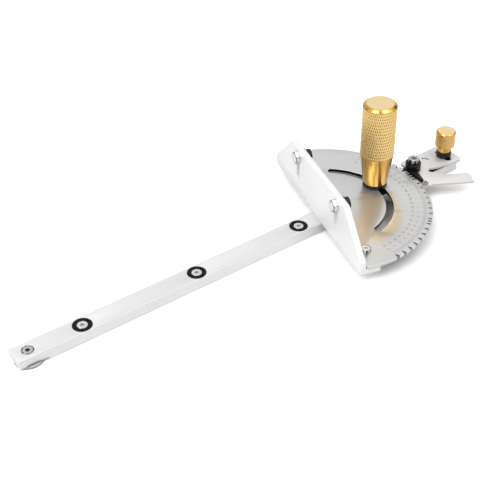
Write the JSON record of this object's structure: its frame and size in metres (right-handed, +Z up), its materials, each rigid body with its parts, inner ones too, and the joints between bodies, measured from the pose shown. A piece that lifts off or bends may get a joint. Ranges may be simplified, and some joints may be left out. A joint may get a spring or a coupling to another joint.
{
  "type": "miter gauge",
  "caption": "Table saw miter gauge: slotted protractor head on a guide bar, with angled fence, clamping handle and indexing lever with locking knob.",
  "frame": {"origin": "head pivot axis, on the underside of the guide bar", "axes": "+X along the bar towards its front end (feed direction), +Z up, +Y to the operator's left of the feed direction"},
  "size_m": [0.446, 0.1779, 0.0995],
  "materials": {
    "anodised": "silver anodised, satin",
    "plate": "brushed",
    "black": "black, satin",
    "gold": "gold anodised, knurled and polished",
    "steel": "bright zinc plated",
    "bright": "bright plated",
    "plastic": "matt black"
  },
  "bodies": {
    "bar": {"miter_bar": "anodised", "expander_disc_1": "plastic", "expander_disc_2": "plastic", "expander_disc_3": "plastic", "retaining_washer": "steel", "end_screw": "bright", "pivot_screw": "steel", "handle_stud": "steel", "glide_strip": "plastic", "index_bush": "steel", "index_collar": "black", "index_screw": "steel", "knob_stud": "steel"},
    "head": {"protractor_plate": "plate", "fence_bracket": "anodised", "plate_screw_near": "bright", "plate_screw_far": "bright"},
    "fence_clamp_near": {"fence_bolt_near": "bright", "fence_washer_near": "black", "fence_nut_near": "black"},
    "fence_clamp_far": {"fence_bolt_far": "bright", "fence_washer_far": "black", "fence_nut_far": "black"},
    "handle": {"handle_grip": "gold", "handle_washer": "black"},
    "index_lever": {"index_lever": "plate", "index_pawl": "black", "index_tooth": "steel", "pawl_rivets": "black"},
    "index_knob": {"index_knob": "gold", "knob_spacer": "black"},
    "expander_screw_1": {"expander_screw_1": "bright"},
    "expander_screw_2": {"expander_screw_2": "bright"},
    "expander_screw_3": {"expander_screw_3": "bright"}
  },
  "joints": [
    {"name": "head_swing", "type": "hinge", "parent": "bar", "child": "head", "pos_m": [0, 0, 0.0145], "axis": [0, 0, 1], "range_deg": [-45, 75]},
    {"name": "handle_turn", "type": "hinge", "parent": "bar", "child": "handle", "pos_m": [-0.0528, 0, 0.05], "axis": [0, 0, 1], "continuous": true},
    {"name": "index_lever_swing", "type": "hinge", "parent": "bar", "child": "index_lever", "pos_m": [-0.099, 0, 0.0132], "axis": [0, 0, 1], "range_deg": [-6.5, 8]},
    {"name": "index_knob_turn", "type": "hinge", "parent": "bar", "child": "index_knob", "pos_m": [-0.1375, 0, 0.025], "axis": [0, 0, 1], "continuous": true},
    {"name": "fence_clamp_near_slide", "type": "slide", "parent": "head", "child": "fence_clamp_near", "axis": [0, 0, 1], "range_m": [-0.0188, 0.0008]},
    {"name": "fence_clamp_far_slide", "type": "slide", "parent": "head", "child": "fence_clamp_far", "axis": [0, 0, 1], "range_m": [-0.0188, 0.0008]},
    {"name": "expander_turn_1", "type": "hinge", "parent": "bar", "child": "expander_screw_1", "pos_m": [0.0325, 0, 0.006], "axis": [0, 0, 1], "continuous": true},
    {"name": "expander_turn_2", "type": "hinge", "parent": "bar", "child": "expander_screw_2", "pos_m": [0.1368, 0, 0.006], "axis": [0, 0, 1], "continuous": true},
    {"name": "expander_turn_3", "type": "hinge", "parent": "bar", "child": "expander_screw_3", "pos_m": [0.2411, 0, 0.006], "axis": [0, 0, 1], "continuous": true}
  ]
}
